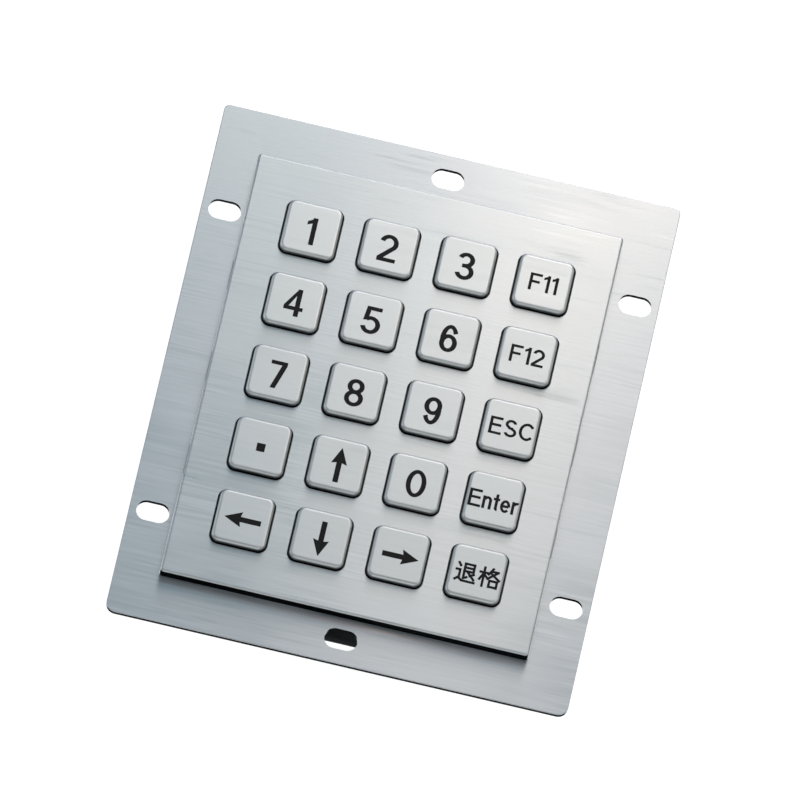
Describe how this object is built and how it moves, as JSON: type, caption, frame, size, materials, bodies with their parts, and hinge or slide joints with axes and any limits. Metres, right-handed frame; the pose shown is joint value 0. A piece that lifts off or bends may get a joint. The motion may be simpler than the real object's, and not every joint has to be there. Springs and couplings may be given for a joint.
{
  "type": "keypad access reader",
  "caption": "Stainless panel-mount keypad: brushed flange with slotted fixing holes, raised face with square push keys for digits, arrows and functions, closed metal box behind.",
  "frame": {"origin": "centre of the four side mounting slots, on the flange's back face, which seats on the panel", "axes": "+Z out of the front face, along a key's push axis reversed; +X to the right seen from the front; +Y to the top, above the digit 2"},
  "size_m": [0.1186, 0.14, 0.0266],
  "materials": {
    "brushed_flange": "stainless steel, brushed across",
    "brushed_face": "stainless steel, brushed across",
    "key_steel": "stainless steel, fine satin, black etched legend",
    "weld_steel": "stainless weld metal",
    "satin_cover": "stainless sheet, satin",
    "zinc_plate": "zinc-plated steel sheet",
    "zinc_fasteners": "zinc-plated steel",
    "steel_screws": "stainless steel",
    "brass_standoffs": "nickel-free brass",
    "black_abs": "moulded ABS, black",
    "grey_silicone": "silicone rubber, translucent grey",
    "green_board": "glass-epoxy laminate with green mask",
    "carbon_gold": "gold-flashed copper pads",
    "amber_film": "polyimide film",
    "black_rubber": "EPDM rubber",
    "black_epoxy": "moulded epoxy",
    "tinned_leads": "tin plated",
    "nickel_can": "nickel-plated can",
    "white_nylon": "moulded nylon",
    "capacitor_can": "aluminium can on a black foot",
    "ceramic_brown": "ceramic chip",
    "resistor_black": "thick-film chip"
  },
  "bodies": {
    "housing": {"mounting_flange": "brushed_flange", "face_shell": "brushed_face", "weld_beads": "weld_steel", "key_frame": "black_abs", "silicone_keymat": "grey_silicone", "circuit_board": "green_board", "contact_pads": "carbon_gold", "insulating_film": "amber_film", "backing_plate": "zinc_plate", "clamp_studs": "weld_steel", "clamp_washers": "zinc_fasteners", "clamp_nuts": "zinc_fasteners", "cover_standoffs": "brass_standoffs", "cover_screws": "steel_screws", "rear_cover": "satin_cover", "cable_grommet": "black_rubber", "encoder_chip": "black_epoxy", "encoder_leads": "tinned_leads", "crystal": "nickel_can", "signal_header": "white_nylon", "header_pins": "tinned_leads", "bulk_capacitor": "capacitor_can", "capacitors": "ceramic_brown", "resistors": "resistor_black"},
    "key_1_body": {"key_1": "key_steel"},
    "key_2_body": {"key_2": "key_steel"},
    "key_3_body": {"key_3": "key_steel"},
    "key_f11_body": {"key_f11": "key_steel"},
    "key_4_body": {"key_4": "key_steel"},
    "key_5_body": {"key_5": "key_steel"},
    "key_6_body": {"key_6": "key_steel"},
    "key_f12_body": {"key_f12": "key_steel"},
    "key_7_body": {"key_7": "key_steel"},
    "key_8_body": {"key_8": "key_steel"},
    "key_9_body": {"key_9": "key_steel"},
    "key_esc_body": {"key_esc": "key_steel"},
    "key_dot_body": {"key_dot": "key_steel"},
    "key_up_body": {"key_up": "key_steel"},
    "key_0_body": {"key_0": "key_steel"},
    "key_enter_body": {"key_enter": "key_steel"},
    "key_left_body": {"key_left": "key_steel"},
    "key_down_body": {"key_down": "key_steel"},
    "key_right_body": {"key_right": "key_steel"},
    "key_backspace_body": {"key_backspace": "key_steel"}
  },
  "joints": [
    {"name": "press_1", "type": "slide", "parent": "housing", "child": "key_1_body", "axis": [0, 0, -1], "range_m": [0, 0.0006], "stiffness_N_per_m": 1500, "springref_m": -0.0006, "deforming": ["silicone_keymat"]},
    {"name": "press_2", "type": "slide", "parent": "housing", "child": "key_2_body", "axis": [0, 0, -1], "range_m": [0, 0.0006], "stiffness_N_per_m": 1500, "springref_m": -0.0006, "deforming": ["silicone_keymat"]},
    {"name": "press_3", "type": "slide", "parent": "housing", "child": "key_3_body", "axis": [0, 0, -1], "range_m": [0, 0.0006], "stiffness_N_per_m": 1500, "springref_m": -0.0006, "deforming": ["silicone_keymat"]},
    {"name": "press_f11", "type": "slide", "parent": "housing", "child": "key_f11_body", "axis": [0, 0, -1], "range_m": [0, 0.0006], "stiffness_N_per_m": 1500, "springref_m": -0.0006, "deforming": ["silicone_keymat"]},
    {"name": "press_4", "type": "slide", "parent": "housing", "child": "key_4_body", "axis": [0, 0, -1], "range_m": [0, 0.0006], "stiffness_N_per_m": 1500, "springref_m": -0.0006, "deforming": ["silicone_keymat"]},
    {"name": "press_5", "type": "slide", "parent": "housing", "child": "key_5_body", "axis": [0, 0, -1], "range_m": [0, 0.0006], "stiffness_N_per_m": 1500, "springref_m": -0.0006, "deforming": ["silicone_keymat"]},
    {"name": "press_6", "type": "slide", "parent": "housing", "child": "key_6_body", "axis": [0, 0, -1], "range_m": [0, 0.0006], "stiffness_N_per_m": 1500, "springref_m": -0.0006, "deforming": ["silicone_keymat"]},
    {"name": "press_f12", "type": "slide", "parent": "housing", "child": "key_f12_body", "axis": [0, 0, -1], "range_m": [0, 0.0006], "stiffness_N_per_m": 1500, "springref_m": -0.0006, "deforming": ["silicone_keymat"]},
    {"name": "press_7", "type": "slide", "parent": "housing", "child": "key_7_body", "axis": [0, 0, -1], "range_m": [0, 0.0006], "stiffness_N_per_m": 1500, "springref_m": -0.0006, "deforming": ["silicone_keymat"]},
    {"name": "press_8", "type": "slide", "parent": "housing", "child": "key_8_body", "axis": [0, 0, -1], "range_m": [0, 0.0006], "stiffness_N_per_m": 1500, "springref_m": -0.0006, "deforming": ["silicone_keymat"]},
    {"name": "press_9", "type": "slide", "parent": "housing", "child": "key_9_body", "axis": [0, 0, -1], "range_m": [0, 0.0006], "stiffness_N_per_m": 1500, "springref_m": -0.0006, "deforming": ["silicone_keymat"]},
    {"name": "press_esc", "type": "slide", "parent": "housing", "child": "key_esc_body", "axis": [0, 0, -1], "range_m": [0, 0.0006], "stiffness_N_per_m": 1500, "springref_m": -0.0006, "deforming": ["silicone_keymat"]},
    {"name": "press_dot", "type": "slide", "parent": "housing", "child": "key_dot_body", "axis": [0, 0, -1], "range_m": [0, 0.0006], "stiffness_N_per_m": 1500, "springref_m": -0.0006, "deforming": ["silicone_keymat"]},
    {"name": "press_up", "type": "slide", "parent": "housing", "child": "key_up_body", "axis": [0, 0, -1], "range_m": [0, 0.0006], "stiffness_N_per_m": 1500, "springref_m": -0.0006, "deforming": ["silicone_keymat"]},
    {"name": "press_0", "type": "slide", "parent": "housing", "child": "key_0_body", "axis": [0, 0, -1], "range_m": [0, 0.0006], "stiffness_N_per_m": 1500, "springref_m": -0.0006, "deforming": ["silicone_keymat"]},
    {"name": "press_enter", "type": "slide", "parent": "housing", "child": "key_enter_body", "axis": [0, 0, -1], "range_m": [0, 0.0006], "stiffness_N_per_m": 1500, "springref_m": -0.0006, "deforming": ["silicone_keymat"]},
    {"name": "press_left", "type": "slide", "parent": "housing", "child": "key_left_body", "axis": [0, 0, -1], "range_m": [0, 0.0006], "stiffness_N_per_m": 1500, "springref_m": -0.0006, "deforming": ["silicone_keymat"]},
    {"name": "press_down", "type": "slide", "parent": "housing", "child": "key_down_body", "axis": [0, 0, -1], "range_m": [0, 0.0006], "stiffness_N_per_m": 1500, "springref_m": -0.0006, "deforming": ["silicone_keymat"]},
    {"name": "press_right", "type": "slide", "parent": "housing", "child": "key_right_body", "axis": [0, 0, -1], "range_m": [0, 0.0006], "stiffness_N_per_m": 1500, "springref_m": -0.0006, "deforming": ["silicone_keymat"]},
    {"name": "press_backspace", "type": "slide", "parent": "housing", "child": "key_backspace_body", "axis": [0, 0, -1], "range_m": [0, 0.0006], "stiffness_N_per_m": 1500, "springref_m": -0.0006, "deforming": ["silicone_keymat"]}
  ]
}
